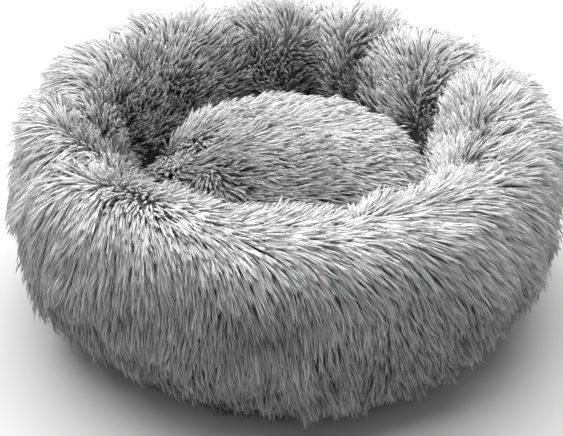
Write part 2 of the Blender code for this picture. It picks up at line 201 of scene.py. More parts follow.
# Base, lining and zip
WAVE_SCALE = 0.314  # of a wave texture whose bands are a metre apart
GRIP_DOT_HEIGHT = 0.7 * MM
DOT_PITCH = 11 * MM
DOT_ROW_PITCH = DOT_PITCH * 0.87
DOT_RADIUS = 2.2 * MM
DOT_SIDES = 10
DOT_EDGE_MARGIN = 13 * MM
DOT_ZIP_MARGINS = (2 * MM, 3 * MM)
STITCH_SIDES = 6
STITCH_RINGS = ((-0.3, 0.8), (0.0, 1.0), (0.3, 0.8))  # place along the stitch, share of its width
EDGE_STITCH_INSETS = (4 * MM, 7 * MM)
BINDING_PADDING = 0.25 * MM  # between the tape's middle line and the CAD solid
BINDING_TURNS = 420
BINDING_SIDES = 14
QUILT_PITCH = 34 * MM
QUILT_RINGS = 90
QUILT_COLUMNS = 240
QUILT_EDGE = 5 * MM
QUILT_BACKING = 0.5 * MM
COIL_WIRE = 0.62 * MM
COIL_PITCH = 1.25 * MM
COIL_STEPS = 14  # points in one turn of the coil
COIL_SIDES = 6
ZIP_METAL_PARTS = (  # name, CAD node, body, bevel in mm
    ("zip_crimped_stop_open_end", "zip_stop_open_end", "bed", 0.12),
    ("zip_crimped_stop_closed_end", "zip_stop_closed_end", "bed", 0.12),
    ("zip_slider_body", "zip_slider", "slider", 0.1),
    ("zip_pull_tab", "zip_pull", "pull", 0.1),
)

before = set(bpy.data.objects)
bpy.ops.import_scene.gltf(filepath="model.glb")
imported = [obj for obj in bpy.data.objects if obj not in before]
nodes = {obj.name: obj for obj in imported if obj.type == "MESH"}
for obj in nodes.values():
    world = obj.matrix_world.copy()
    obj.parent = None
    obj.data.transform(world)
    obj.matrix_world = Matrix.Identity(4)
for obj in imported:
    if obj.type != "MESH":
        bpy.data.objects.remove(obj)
cad_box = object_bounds()


# ---- materials

def new_material(name, tone, roughness, metallic=0.0):
    """A grey material, its nodes and links, and its shader."""
    made = bpy.data.materials.new(name)
    made.use_nodes = True
    shader = made.node_tree.nodes["Principled BSDF"]
    shader.inputs["Base Color"].default_value = (tone, tone, tone, 1)
    shader.inputs["Roughness"].default_value = roughness
    shader.inputs["Metallic"].default_value = metallic
    return made, made.node_tree.nodes, made.node_tree.links, shader


def ramped(tree, links, value, stops):
    """The grey that the stops give for a socket's value."""
    ramp = tree.new("ShaderNodeValToRGB")
    while len(ramp.color_ramp.elements) < len(stops):
        ramp.color_ramp.elements.new(0.5)
    for element, (position, tone) in zip(ramp.color_ramp.elements, stops):
        element.position = position
        element.color = (tone, tone, tone, 1)
    links.new(value, ramp.inputs["Fac"])
    return ramp.outputs["Color"]


def mixed(tree, links, blend_type, factor, a, b):
    """Two colour sockets mixed; factor is a socket or a plain number."""
    mix = tree.new("ShaderNodeMix")
    mix.data_type = "RGBA"
    mix.blend_type = blend_type
    if isinstance(factor, float):
        mix.inputs["Factor"].default_value = factor
    else:
        links.new(factor, mix.inputs["Factor"])
    links.new(a, mix.inputs["A"])
    links.new(b, mix.inputs["B"])
    return mix.outputs["Result"]


def fur_material(name, painted_shade_stops, painted_light_stops, spread):
    """Colour from root to tip, dark at the root as painted shade among the strands, with the strands
    in painted shade at U 0 and those in painted light at U 1, each a little different.
    """
    made, tree, links, shader = new_material(name, 0.5, 0.72)
    shader.inputs["Sheen Weight"].default_value = 0.1
    shader.inputs["Sheen Roughness"].default_value = 0.5
    shader.inputs["Specular IOR Level"].default_value = 0.15
    uv = tree.new("ShaderNodeUVMap")
    uv.uv_map = STRAND_UV
    split = tree.new("ShaderNodeSeparateXYZ")
    links.new(uv.outputs["UV"], split.inputs["Vector"])
    across, along = split.outputs["X"], split.outputs["Y"]
    noise = tree.new("ShaderNodeTexNoise")
    noise.noise_dimensions = "1D"
    noise.inputs["Scale"].default_value = 60
    noise.inputs["Detail"].default_value = 0
    links.new(across, noise.inputs["W"])
    pile = mixed(tree, links, "MIX", across, ramped(tree, links, along, painted_shade_stops),
                 ramped(tree, links, along, painted_light_stops))
    tone = ramped(tree, links, noise.outputs["Fac"], [(0.3, 1 - spread), (0.7, 1.0)])
    links.new(mixed(tree, links, "MULTIPLY", 1.0, pile, tone), shader.inputs["Base Color"])
    return made


def object_noise(tree, links, scale, detail):
    """The value of noise in the piece's own coordinates."""
    place = tree.new("ShaderNodeTexCoord")
    noise = tree.new("ShaderNodeTexNoise")
    noise.inputs["Scale"].default_value = scale
    noise.inputs["Detail"].default_value = detail
    links.new(place.outputs["Object"], noise.inputs["Vector"])
    return noise.outputs["Fac"]


def threads(tree, links, direction, thread):
    """Waves this wide across the piece's X or Y, a little uneven."""
    place = tree.new("ShaderNodeTexCoord")
    wave = tree.new("ShaderNodeTexWave")
    wave.bands_direction = direction
    wave.inputs["Scale"].default_value = WAVE_SCALE / thread
    wave.inputs["Distortion"].default_value = 0.4
    wave.inputs["Detail"].default_value = 1
    wave.inputs["Detail Scale"].default_value = 2
    links.new(place.outputs["Object"], wave.inputs["Vector"])
    return wave.outputs["Fac"]


def computed(tree, links, operation, *values):
    """The output of a math node on sockets or plain numbers."""
    node = tree.new("ShaderNodeMath")
    node.operation = operation
    for socket, value in zip(node.inputs, values):
        if isinstance(value, float):
            socket.default_value = value
        else:
            links.new(value, socket)
    return node.outputs["Value"]


def cloth_material(name, dark, light, thread, roughness, bump):
    """Plain-woven cloth: threads this wide cross each other."""
    made, tree, links, shader = new_material(name, light, roughness)
    weave = computed(tree, links, "MULTIPLY", threads(tree, links, "X", thread),
                     threads(tree, links, "Y", thread))
    blotch = computed(tree, links, "MULTIPLY", object_noise(tree, links, 30, 3), 0.6)
    tone = computed(tree, links, "MULTIPLY_ADD", weave, 0.6, blotch)
    colour = ramped(tree, links, tone, [(0.15, dark), (0.75, light)])
    links.new(colour, shader.inputs["Base Color"])
    raised = tree.new("ShaderNodeBump")
    raised.inputs["Strength"].default_value = bump
    raised.inputs["Distance"].default_value = thread * 0.5
    links.new(weave, raised.inputs["Height"])
    links.new(raised.outputs["Normal"], shader.inputs["Normal"])
    return made


def metal_material(name):
    """Cast zip metal: dull plating, worn lighter in patches."""
    made, tree, links, shader = new_material(name, 0.45, 0.35, 1.0)
    wear = object_noise(tree, links, 600, 5)
    tone = ramped(tree, links, wear, [(0.3, 0.32), (0.7, 0.58)])
    rough = ramped(tree, links, wear, [(0.3, 0.28), (0.75, 0.5)])
    links.new(tone, shader.inputs["Base Color"])
    links.new(rough, shader.inputs["Roughness"])
    return made


def speckled_material(name, dark, light, roughness, scale):
    """Soft mottling."""
    made, tree, links, shader = new_material(name, light, roughness)
    mottle = object_noise(tree, links, scale, 4)
    colour = ramped(tree, links, mottle, [(0.3, dark), (0.7, light)])
    links.new(colour, shader.inputs["Base Color"])
    return made


# ---- meshes and pieces

def placed(name, data):
    """A new object in the scene."""
    made = bpy.data.objects.new(name, data)
    bpy.context.scene.collection.objects.link(made)
    return made


def mesh_piece(name, vertices, faces, material):
    mesh = bpy.data.meshes.new(name)
    mesh.from_pydata([tuple(v) for v in vertices], [], faces)
    mesh.materials.append(material)
    mesh.shade_smooth()
    return placed(name, mesh)


def settle(piece, body, replaced):
    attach(piece, body)
    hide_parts(replaced)


def belt(first, second, columns):
    """Quads between two rings of points, which start at these numbers."""
    return [(first + j, first + (j + 1) % columns, second + (j + 1) % columns, second + j)
            for j in range(columns)]


def cone(ring, tip, sides):
    return [(ring + k, ring + (k + 1) % sides, tip) for k in range(sides)]


def flipped(faces):
    return [face[::-1] for face in faces]


def grid_faces(rows, columns, offset=0):
    """Quads over a rows x columns grid of points whose columns wrap round."""
    faces = []
    for i in range(rows - 1):
        faces += belt(offset + i * columns, offset + (i + 1) * columns, columns)
    return faces


def tube_faces(rows, columns):
    """The same with a cap on the first row and on the last."""
    last = (rows - 1) * columns
    return grid_faces(rows, columns) + [tuple(range(columns))[::-1],
                                        tuple(range(last, last + columns))]


def shell_piece(name, outside, inside, material, middle_hole):
    """A closed cloth shell between two grids whose last rows are rings (middle_hole) or are each
    closed by a cap. A grid whose rows run downwards to its middle goes in as the inside."""
    rows, columns = outside.shape[:2]
    offset = rows * columns
    last = offset - columns
    faces = grid_faces(rows, columns) + flipped(grid_faces(rows, columns, offset))
    faces += belt(offset, 0, columns)
    if middle_hole:
        faces += belt(last, offset + last, columns)
    else:
        faces += [tuple(range(last, offset)), tuple(range(offset + last, 2 * offset))[::-1]]
    points = np.concatenate([outside.reshape(-1, 3), inside.reshape(-1, 3)])
    return mesh_piece(name, points, faces, material)


def smooth_noise(points, size, seed):
    """A soft random field of about -1 to 1 whose hills are about this size."""
    rng = np.random.default_rng(seed)
    field = np.zeros(points.shape[:-1])
    for _ in range(NOISE_WAVES):
        way = rng.normal(size=3)
        way *= TAU / size / np.linalg.norm(way) * rng.uniform(0.6, 1.4)
        field += np.sin(points @ way + rng.uniform(0, TAU))
    return field / math.sqrt(NOISE_WAVES / 2)


def angles(count):
    """This many angles round the circle, as a row."""
    return np.linspace(0, TAU, count, endpoint=False)[None, :]


def turned(radius, theta, level):
    """Points at these radii, angles and levels."""
    return np.stack([radius * np.cos(theta), radius * np.sin(theta), level + 0 * theta], -1)


def unit(vectors):
    return vectors / np.maximum(np.linalg.norm(vectors, axis=-1, keepdims=True), 1e-12)


def smooth_step(value):
    value = np.clip(value, 0, 1)
    return value * value * (3 - 2 * value)


def power_section(half_width, half_height, roundness, t):
    x = half_width * np.sign(np.cos(t)) * np.abs(np.cos(t)) ** (2 / roundness)
    z = half_height * np.sign(np.sin(t)) * np.abs(np.sin(t)) ** (2 / roundness)
    return x, z


def evenly(x, z, count, last_gap=0.0):
    """The same curve as count points an equal distance apart."""
    run = np.concatenate([[0], np.cumsum(np.hypot(np.diff(x), np.diff(z)))])
    even = np.linspace(0, run[-1] - last_gap, count)
    return np.interp(even, run, x), np.interp(even, run, z)


# ---- rim skin

def rim_sizes():
    """Radius of the section's middle at the crest and at the foot, half its width, and the
    heights of foot and crest, all read from the frame."""
    low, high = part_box("rim_cover")
    spots = np.array([v.co for v in nodes["rim_cover"].data.vertices])
    radii = np.hypot(spots[:, 0], spots[:, 1])
    upper = radii[spots[:, 2] > (low.z + high.z) / 2]
    foot = radii[spots[:, 2] < low.z + MM]
    middle = (upper.max() + upper.min()) / 2
    return middle, (foot.max() + foot.min()) / 2, (upper.max() - upper.min()) / 2, low.z, high.z


CENTRE_RADIUS, FOOT_CENTRE_RADIUS, HALF_WIDTH, RIM_FOOT, RIM_CREST = rim_sizes()
HALF_HEIGHT = (RIM_CREST - RIM_FOOT + RIM_SINK) / 2
CENTRE_HEIGHT = RIM_CREST - HALF_HEIGHT
FOOT_DROP = (CENTRE_HEIGHT - RIM_FOOT) / HALF_HEIGHT
RIM_LEAN = (CENTRE_RADIUS - FOOT_CENTRE_RADIUS) / FOOT_DROP ** 2
NEST_RADIUS = CENTRE_RADIUS - HALF_WIDTH
BASE_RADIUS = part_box("base_binding")[1].x


def section_centre(height):
    """Radius of the middle of the section, which leans in below its widest place."""
    return CENTRE_RADIUS - RIM_LEAN * np.clip((CENTRE_HEIGHT - height) / HALF_HEIGHT, 0, None) ** 2


def window(theta, centre, width):
    """1 at the centre angle, falling smoothly to 0 this many degrees away."""
    away = np.abs((np.degrees(theta) - centre + 180) % 360 - 180)
    return smooth_step(1 - away / width)


def crease_depth(theta, lean):
    """How deep the skin is drawn in. lean runs from -1 outside over 0 at the crest to 1 inside."""
    depth = np.zeros(np.broadcast(theta, lean).shape)
    edge = math.radians(CREASE_SOFT_EDGE)
    for angle, deep, width, slant in CREASES:
        centre = math.radians(angle) - math.radians(slant) * lean
        away = np.abs((theta - centre + math.pi) % TAU - math.pi)
        soft = np.sqrt(away ** 2 + edge ** 2) - edge
        depth = np.maximum(depth, deep * MM * np.exp(-soft / math.radians(width)))
    return depth


def lobe_place(theta):
    """-1 to 1 across the lobe between two creases, and how deep the nearer crease is, 0 to 1."""
    ordered = sorted(CREASES)
    lines = np.radians([c[0] for c in ordered])
    depths = np.array([c[1] for c in ordered])
    past = (theta - lines[0]) % TAU
    starts = lines - lines[0]
    k = np.searchsorted(starts, past, side="right") - 1
    ends = np.append(starts[1:], TAU)
    place = 2 * (past - starts[k]) / (ends[k] - starts[k]) - 1
    nearer = np.where(place < 0, depths[k], depths[(k + 1) % len(ordered)])
    return place, np.clip(nearer / DEEP_CREASE, 0, 1)


def rim_grid(inset):
    """The rim's surface, inset from its outside: rows from the outer foot over the crest to the
    inner foot, columns round it."""
    turn = math.asin(FOOT_DROP ** (RIM_ROUNDNESS / 2))
    x, z = power_section(HALF_WIDTH, HALF_HEIGHT, RIM_ROUNDNESS,
                         np.linspace(-turn, math.pi + turn, 2000))
    x, z = evenly(x, z, RIM_ROWS)
    theta = angles(RIM_COLUMNS)
    x, z = x[:, None], z[:, None]
    lean = np.clip(-x / HALF_WIDTH, -1, 1)
    rise = np.clip((CENTRE_HEIGHT + z - RIM_FOOT) / CREASE_FADE_HEIGHT, 0, 1)
    inwards = np.clip((lean + 1) / 1.2, 0, 1)
    kept = CREASE_SHARE_OUTSIDE + (1 - CREASE_SHARE_OUTSIDE) * inwards
    fold = crease_depth(theta, lean) * rise * kept
    draw = inset + fold - np.minimum(fold.mean(axis=1, keepdims=True), LOBE_BULGE)
    across = unit(np.stack([x / HALF_WIDTH ** 2, z / HALF_HEIGHT ** 2], -1))
    level = CENTRE_HEIGHT + z - across[..., 1] * draw
    radius = x - across[..., 0] * draw
    level = np.maximum(level, RIM_FOOT + RIM_FOOT_GAP)
    radius = radius + section_centre(level)
    level = level + rise * (REAR_RISE * window(theta, *REAR_LEFT)
                            - REAR_RISE * window(theta, *REAR_RIGHT))
    ring = turned(CENTRE_RADIUS + 0 * level, theta, level)
    ripple = smooth_noise(ring, RIM_RIPPLE_SIZE, 11) * RIM_RIPPLE * rise
    radius = radius + across[..., 0] * ripple
    level = level + across[..., 1] * ripple
    return turned(radius, theta, level)


def puff(grid, name, hold, cap):
    """The grid blown up as cloth that is closed at both ends. hold, for each point, runs from 0,
    free, to 1, pinned; no point moves further than cap."""
    rows, columns = grid.shape[:2]
    flat = grid.reshape(-1, 3)
    mesh = bpy.data.meshes.new(name)
    mesh.from_pydata([tuple(v) for v in flat], [], tube_faces(rows, columns))
    skin = placed(name, mesh)
    group = skin.vertex_groups.new(name="held")
    for i, weight in enumerate(hold.ravel()):
        group.add([i], float(weight), "REPLACE")
    settings = skin.modifiers.new("cloth", "CLOTH").settings
    settings.use_pressure = True
    settings.uniform_pressure_force = CLOTH_PRESSURE
    settings.effector_weights.gravity = 0
    settings.vertex_group_mass = group.name
    settings.quality = CLOTH_QUALITY
    settings.tension_stiffness = settings.compression_stiffness = CLOTH_STIFFNESS
    settings.shear_stiffness = CLOTH_STIFFNESS / 2
    settings.bending_stiffness = CLOTH_BENDING
    scene = bpy.context.scene
    for step in range(1, CLOTH_FRAMES + 1):
        scene.frame_set(step)
    graph = bpy.context.evaluated_depsgraph_get()
    moved = np.array([v.co for v in skin.evaluated_get(graph).data.vertices])
    scene.frame_set(1)
    bpy.data.objects.remove(skin)
    shift = moved - flat
    length = np.linalg.norm(shift, axis=1, keepdims=True)
    shift *= np.minimum(1, cap / np.maximum(length, 1e-9))
    return (flat + shift).reshape(grid.shape)


# ---- fur

def grid_normals(grid):
    """A grid's unit normals, and unit vectors from row to row and from column to column."""
    along_rows = np.gradient(grid, axis=0)
    along_columns = np.roll(grid, -1, axis=1) - np.roll(grid, 1, axis=1)
    return unit(np.cross(along_columns, along_rows)), unit(along_rows), unit(along_columns)


def sample_grid(field, row, column):
    """Bilinear reading of a grid at fractional rows and columns; the columns wrap round."""
    rows, columns = field.shape[:2]
    i = np.clip(row.astype(int), 0, rows - 2)
    j = np.floor(column).astype(int) % columns
    fi = (row - i)[:, None]
    fj = (column - np.floor(column))[:, None]
    k, m = i + 1, (j + 1) % columns
    top = field[i, j] * (1 - fj) + field[i, m] * fj
    low = field[k, j] * (1 - fj) + field[k, m] * fj
    return top * (1 - fi) + low * fi


def along_skin(way, normal):
    return unit(way - normal * (way * normal).sum(1, keepdims=True))


def scatter(grid, spacing, rng, share):
    """Rows and columns of tuft roots, about this far apart; share, a value for each grid point,
    says how many of them are kept."""
    rows, columns = grid.shape[:2]
    step = np.linalg.norm(np.diff(grid, axis=0), axis=2).mean(axis=1)
    run = np.concatenate([[0], np.cumsum(step)])
    belts = int(run[-1] / (spacing * 0.87))
    row_list, column_list = [], []
    for belt in range(belts):
        place = (belt + 0.5) / belts * run[-1]
        row = np.interp(place, run, np.arange(rows))
        ring = grid[int(row)]
        girth = np.linalg.norm(np.roll(ring, -1, axis=0) - ring, axis=1).sum()
        count = max(int(girth / spacing), 3)
        column = (np.arange(count) + 0.5 * (belt % 2) + rng.uniform(-0.42, 0.42, count)) / count
        strayed = row + rng.uniform(-0.45, 0.45, count) * rows / belts
        row_list.append(np.clip(strayed, 0, rows - 1.001))
        column_list.append(column % 1 * columns)
    row, column = np.concatenate(row_list), np.concatenate(column_list)
    keep = rng.uniform(size=len(row)) < sample_grid(share[..., None], row, column)[:, 0]
    return row[keep], column[keep]


def strand_paths(root, normal, comb, length, lift, rng):
    """Four points along each strand of each tuft: root, two bends and tip."""
    count = len(root)
    side = unit(np.cross(normal, comb))
    slope = np.sqrt(np.maximum(1 - lift ** 2, 0))
    wave = rng.normal(0, TUFT_WAVE, (count, 1)) * length[:, None] * side
    paths = []
    for k in range(STRANDS_PER_TUFT):
        turn = TAU * (k + rng.uniform(0, 1, (count, 1))) / STRANDS_PER_TUFT
        ring = rng.uniform(0.6, 1.0, (count, 1)) * TUFT_RADIUS
        spot = (np.cos(turn) * comb + np.sin(turn) * side) * ring
        own = length[:, None] * rng.uniform(*STRAND_LENGTHS, (count, 1))
        sway = rng.normal(0, STRAND_SWAY, (count, 1)) * own * side
        up = normal * own
        on = comb * own
        h, c = lift[:, None], slope[:, None]
        paths.append(np.stack([
            root + spot - normal * ROOT_DEPTH,
            root + spot * 0.9 + up * (h * 0.36 + 0.10) + on * c * 0.28 + wave * 0.7,
            root + spot * 0.75 + up * (h * 0.82 + 0.05) + on * c * 0.78 + wave * 0.6 + sway * 0.7,
            root + spot * 0.35 + up * h * 0.98 + on * c + wave * 0.2 + sway,
        ], 1))
    return np.concatenate(paths)


def fur_mesh(name, paths, width, painted_light, rng, material):
    """A closed three-sided tapering strand round each path. The 0 to 1 value given for each strand
    places it across the pile's colours, from painted shade to painted light."""
    count = len(paths)
    ahead = unit(np.gradient(paths, axis=1))[:, :3]
    across = unit(np.cross(ahead, unit(rng.normal(size=(count, 1, 3)))))
    third = np.cross(ahead, across)
    corners = []
    for k in range(3):
        turn = TAU * k / 3
        spread = across * math.cos(turn) + third * math.sin(turn)
        corners.append(paths[:, :3] + spread * (width[:, None, None] * STRAND_TAPER[None, :, None]))
    rings = np.stack(corners, 2)  # strand, ring, corner, xyz
    vertices = np.concatenate([rings.reshape(count, 9, 3), paths[:, 3:4]], 1).reshape(-1, 3)

    faces = [(0, 2, 1)]
    for ring in range(2):
        for k in range(3):
            m = (k + 1) % 3
            faces.append((ring * 3 + k, ring * 3 + m, ring * 3 + 3 + m, ring * 3 + 3 + k))
    faces += [(6 + k, 6 + (k + 1) % 3, 9) for k in range(3)]
    loops_of_one = np.array([i for face in faces for i in face])
    sizes = np.tile([len(face) for face in faces], count)
    loops = (np.arange(count)[:, None] * 10 + loops_of_one[None, :]).ravel()

    mesh = bpy.data.meshes.new(name)
    mesh.vertices.add(len(vertices))
    mesh.vertices.foreach_set("co", vertices.astype(np.float32).ravel())
    mesh.loops.add(len(loops))
    mesh.loops.foreach_set("vertex_index", loops.astype(np.int32))
    mesh.polygons.add(len(sizes))
    starts = np.concatenate([[0], np.cumsum(sizes)[:-1]])
    mesh.polygons.foreach_set("loop_start", starts.astype(np.int32))
    mesh.polygons.foreach_set("use_smooth", np.ones(len(sizes), bool))
    mesh.update(calc_edges=True)

    wide = STRAND_UV_WIDTH
    corner_u = [0, wide / 2, wide]
    spots = [(corner_u[k], level) for level in STRAND_UV_LEVELS for k in range(3)]
    spots[1] = (wide / 2, ROOT_CAP_UV_LEVEL)
    spots.append((wide / 2, 1.0))
    uv = np.tile(np.array(spots)[loops_of_one][None], (count, 1, 1))
    shade = painted_light * (1 - STRAND_SHADE_SPREAD) + rng.uniform(0, STRAND_SHADE_SPREAD, count)
    uv[..., 0] += np.clip(shade, 0, 1)[:, None] * (1 - wide)
    layer = mesh.uv_layers.new(name=STRAND_UV)
    layer.uv.foreach_set("vector", uv.astype(np.float32).ravel())
    mesh.materials.append(material)
    return placed(name, mesh)


def fur_pieces(name, sectors, angle, paths, width, painted_light, rng, material):
    """The strands in this many pieces, by the angle at which each is rooted."""
    sector = (angle % TAU / TAU * sectors).astype(int)
    return [fur_mesh("%s_%02d" % (name, k + 1), paths[sector == k], width[sector == k],
                     painted_light[sector == k], rng, material) for k in range(sectors)]


def parting_ridge(place):
    """1 on the front's parting, falling off on both sides of it."""
    return np.exp(-((place - PARTING_PLACE) / PARTING_WIDTH) ** 2)


def tuft_share(grid, normals):
    """How many of the tufts grow at each point of the rim's grid."""
    theta = np.arctan2(grid[..., 1], grid[..., 0])
    facing = normals[..., 0] * np.cos(theta) + normals[..., 1] * np.sin(theta)
    buried = (facing < -0.2) & (grid[..., 2] < BURIED_HEIGHT)
    along = np.arange(RIM_ROWS)[:, None] / (RIM_ROWS - 1)
    parting = window(theta, *PARTING_STRETCH) * parting_ridge(along)
    return np.where(buried, BURIED_SHARE, WALL_SHARE + (1 - WALL_SHARE) * parting)


def keep_in_room(paths):
    """Hold the rim's strands clear of the cushion and the base, and under the top of the pile."""
    radius = np.hypot(paths[..., 0], paths[..., 1])
    limit = np.minimum(NEST_RADIUS, section_centre(paths[..., 2]) - HALF_WIDTH) - WALL_CLEARANCE
    full_height = (CUSHION_TOP - CUSHION_SEAM) * OVERHANG_FULL
    limit = limit - NEST_OVERHANG * np.clip((paths[..., 2] - CUSHION_SEAM) / full_height, 0, 1)
    paths[..., :2] *= np.where(radius < limit, limit / np.maximum(radius, MM), 1.0)[..., None]
    over_base = np.hypot(paths[..., 0], paths[..., 1]) < BASE_RADIUS + BASE_CLEARANCE
    lowest = np.where(over_base, RIM_FOOT + BASE_CLEARANCE, FLOOR_CLEARANCE)
    paths[..., 2] = np.clip(paths[..., 2], lowest, RIM_CREST + CREST_PILE)


def rim_fur(grid, material):
    """Combed sideways over the front's crest and down the front; elsewhere the pile parts in the
    middle of each lobe and meets in the creases."""
    rng = np.random.default_rng(20)
    normals, inward, around = grid_normals(grid)
    row, column = scatter(grid, TUFT_SPACING, rng, tuft_share(grid, normals))
    root = sample_grid(grid, row, column)
    normal = unit(sample_grid(normals, row, column))
    outward = -unit(sample_grid(inward, row, column))  # over the crest and down the outside
    ccw = unit(sample_grid(around, row, column))  # counter-clockwise, seen from above
    theta = np.arctan2(root[:, 1], root[:, 0])
    facing = normal[:, 0] * np.cos(theta) + normal[:, 1] * np.sin(theta)
    top = np.clip(normal[:, 2], 0, 1)
    outer = smooth_step(facing * 1.3)
    nest = smooth_step(-facing * 1.3)

    swirl = smooth_noise(root, SWIRL_SIZE, 31)
    hills = smooth_noise(root, LIFT_HILL, 32)
    fine = rng.normal(size=len(root))
    place, crease = lobe_place(theta)
    spread = place * np.abs(place) * crease

    front = window(theta, *FRONT_PILE)
    right = window(theta, *RIGHT_PILE)
    along = row / (RIM_ROWS - 1)
    heading = np.radians(90 + front * (np.interp(along, *FRONT_HEADINGS) - 90))
    wild = 1 + REAR_WILDNESS * (1 - front) * (1 - outer)
    sweep = (np.cos(heading) + SWEEP_RIGHT * right * outer
             + SWEEP_IN_LOBES * spread * (1 - 0.5 * outer) * wild
             + SWEEP_SWIRL * swirl * (1 - 0.6 * outer) * wild + SWEEP_SPREAD * fine * wild)
    comb = outward * np.sin(heading)[:, None] + ccw * sweep[:, None]
    comb[:, 2] -= OUTER_DROOP * outer
    comb = along_skin(comb, normal)

    parted = front * parting_ridge(along)
    lift = (RIM_LIFT + LIFT_ON_TOP * top * (1 - front) + LIFT_IN_NEST * nest + LIFT_OUTSIDE * outer
            + LIFT_AT_PARTING * parted + LIFT_HILLS * hills
            + LIFT_SPREAD * rng.normal(size=len(root)))
    lift = np.clip(lift, *RIM_LIFT_RANGE)
    length = RIM_LENGTH + LONGER_OUTSIDE * outer - SHORTER_IN_NEST * nest + LENGTH_SWIRL * swirl
    length *= MM * rng.uniform(*TUFT_LENGTHS, len(root))
    length *= 1 - SHORTER_AT_PARTING * parted
    paths = strand_paths(root, normal, comb, length, lift, rng)
    keep_in_room(paths)

    width = rng.uniform(*STRAND_WIDTHS, len(paths)) * MM
    # painted light and shade: lighter on top, on the outside's left and right and on the nest's
    # right, darker on the nest's left and on the front's steep faces
    painted_light = smooth_step(0.14 - 0.17 * front + (0.95 + 0.17 * front) * normal[:, 2]
                       + 0.6 * nest * np.clip(-normal[:, 0], 0, 1)
                       - 0.3 * nest * np.clip(normal[:, 0], 0, 1)
                       + 0.38 * outer * normal[:, 0] ** 2)
    for piece in fur_pieces("rim_fur", RIM_FUR_SECTORS, np.tile(theta, STRANDS_PER_TUFT), paths,
                            width, np.tile(painted_light, STRANDS_PER_TUFT), rng, material):
        settle(piece, "bed", "rim_cover")


# ---- cushion

def cushion_sizes():
    """Radius, seam height and top of the cushion, and the underside's height."""
    low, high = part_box("cushion_top_cover")
    under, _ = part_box("cushion_bottom_cover")
    return (high.x - low.x) / 2, low.z, high.z, under.z


CUSHION_RADIUS, CUSHION_SEAM, CUSHION_TOP, CUSHION_BOTTOM = cushion_sizes()


def cushion_grid(inset):
    """The cushion's top skin: rows from the seam up to near its middle."""
    x, z = power_section(CUSHION_RADIUS - inset, CUSHION_TOP - inset - CUSHION_SEAM,
                         CUSHION_TOP_ROUNDNESS, np.linspace(0, math.pi / 2, 1500))
    r, level = evenly(x, z, CUSHION_ROWS, last_gap=CUSHION_MIDDLE)
    grid = turned(r[:, None], angles(CUSHION_COLUMNS), level[:, None] + CUSHION_SEAM)
    rise = smooth_step((grid[..., 2] - CUSHION_SEAM) / CUSHION_RIPPLE_RISE)
    grid[..., 2] += smooth_noise(grid, CUSHION_RIPPLE_SIZE, 41) * CUSHION_RIPPLE * rise
    return grid


def cushion_fur(grid, material):
    """Combed to the right, fanning out at the left edge."""
    rng = np.random.default_rng(50)
    normals, _, _ = grid_normals(grid)
    share = np.full(grid.shape[:2], CUSHION_SHARE)
    row, column = scatter(grid, TUFT_SPACING, rng, share)
    root = sample_grid(grid, row, column)
    normal = unit(sample_grid(normals, row, column))
    x, y = root[:, 0] / CUSHION_RADIUS, root[:, 1] / CUSHION_RADIUS
    swirl = smooth_noise(root, 50 * MM, 51)
    left_edge = smooth_step(-(x + 0.3) * 2)
    back = smooth_step(y * 2)
    turn = (-0.22 - 0.40 * np.clip(-y, 0, 1) - 1.0 * left_edge * (1 - back) + 1.1 * left_edge * back
            + 0.30 * swirl + 0.14 * rng.normal(size=len(root)))
    way = np.stack([np.cos(turn), np.sin(turn), 0 * turn], 1)
    steep = np.clip(1 - normal[:, 2], 0, 1)
    way[:, 2] = -1.6 * steep ** 2
    comb = along_skin(way, normal)
    lift = (CUSHION_LIFT + CUSHION_LIFT_AT_EDGE * steep
            + CUSHION_LIFT_HILLS * smooth_noise(root, LIFT_HILL, 52)
            + CUSHION_LIFT_SPREAD * rng.normal(size=len(root)))
    lift = np.clip(lift, *CUSHION_LIFT_RANGE)
    length = CUSHION_PILE_LENGTH * rng.uniform(*TUFT_LENGTHS, len(root))
    paths = strand_paths(root, normal, comb, length, lift, rng)
    radius = np.hypot(paths[..., 0], paths[..., 1])
    limit = CUSHION_RADIUS + CUSHION_PILE_OVERHANG
    least = limit - FRINGE_SLOPE * np.clip(paths[..., 2] - CUSHION_SEAM, 0, None)
    least[:, 0] = 0  # the roots stay in the skin
    least = np.where(radius > 0.8 * limit, least, 0)
    paths[..., :2] *= (np.clip(radius, least, limit) / np.maximum(radius, MM))[..., None]
    width = rng.uniform(*STRAND_WIDTHS, len(paths)) * MM
    lowest = CUSHION_SEAM - rng.uniform(*CUSHION_FRINGE, (len(paths), 1)) * MM
    paths[..., 2] = np.maximum(paths[..., 2], lowest)
    # painted light: the cushion's strands lighter towards the back and the right, darker towards the
    # front
    painted_light = np.tile(smooth_step(0.58 + 0.30 * x + 0.75 * y), STRANDS_PER_TUFT)
    rooted = np.arctan2(paths[:, 0, 1], paths[:, 0, 0])
    for piece in fur_pieces("cushion_fur", CUSHION_FUR_SECTORS, rooted, paths, width, painted_light, rng,
                            material):
        settle(piece, "cushion", "cushion_top_cover")


